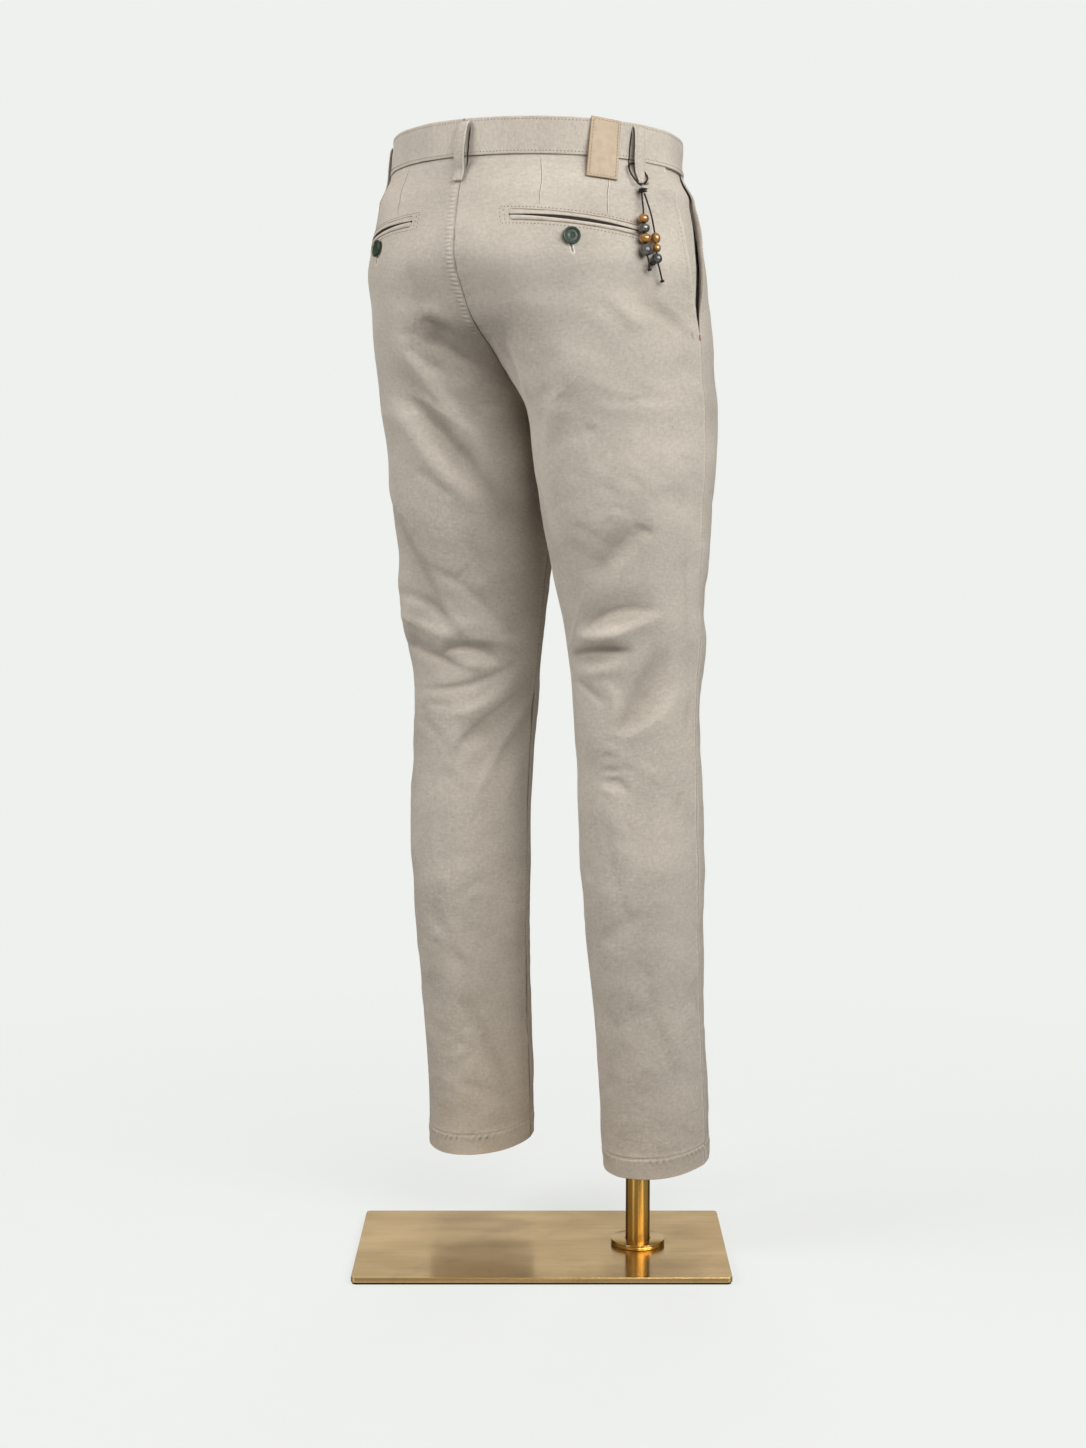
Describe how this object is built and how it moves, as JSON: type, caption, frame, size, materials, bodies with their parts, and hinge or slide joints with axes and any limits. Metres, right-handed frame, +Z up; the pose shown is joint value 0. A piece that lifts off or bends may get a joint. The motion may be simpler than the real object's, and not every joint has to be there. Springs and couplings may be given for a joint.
{
  "type": "chino trousers on a display stand",
  "caption": "Stone cotton twill chinos, filled out with no wearer, on a brass plate, post and waist hoop; slant side pockets, buttoned welt back pockets, leather waist patch, bead charm.",
  "frame": {"origin": "centre of the stand's underside, on the surface it stands on", "axes": "+Z up; the trousers face -Y, so the wearer's right is towards -X; the stand's plate is turned 32 degrees about Z against the trousers"},
  "size_m": [0.413, 0.3654, 1.0846],
  "materials": {
    "twill": "stone cotton twill, washed, matt",
    "leather": "natural tan, matt",
    "button_green": "dark green, polished",
    "bead_gold": "brown and gold tiger's eye, polished, opaque",
    "bead_grey": "grey hematite, polished, opaque",
    "charm_cord": "dark waxed cotton cord",
    "brass": "brushed, lacquered",
    "rubber": "dark, matt"
  },
  "bodies": {
    "root": {"back_panel_left": "twill", "back_panel_right": "twill", "front_panel_left": "twill", "front_panel_right": "twill", "pocket_facing_left": "twill", "pocket_facing_right": "twill", "waistband_left": "twill", "waistband_right": "twill", "hem_turn_up_left": "twill", "hem_turn_up_right": "twill", "back_welt_upper_left": "twill", "back_welt_lower_left": "twill", "back_welt_upper_right": "twill", "back_welt_lower_right": "twill", "fly_front_left": "twill", "belt_loop_centre_back": "twill", "belt_loop_back_left": "twill", "belt_loop_back_right": "twill", "belt_loop_front_left": "twill", "belt_loop_front_right": "twill", "leather_patch": "leather", "back_button_left": "button_green", "back_button_right": "button_green", "waist_button": "button_green", "charm_hanger": "charm_cord", "charm_cord_a": "charm_cord", "charm_cord_b": "charm_cord", "charm_knot": "charm_cord", "charm_bead_1": "bead_gold", "charm_bead_2": "bead_grey", "charm_bead_3": "bead_gold", "charm_bead_4": "bead_gold", "charm_bead_5": "bead_gold", "charm_bead_6": "bead_grey", "charm_bead_7": "bead_grey", "stand_pad": "rubber", "stand_plate": "brass", "stand_collar": "brass", "stand_post": "brass", "waist_hoop": "brass", "waist_crossbar": "brass"}
  },
  "joints": []
}
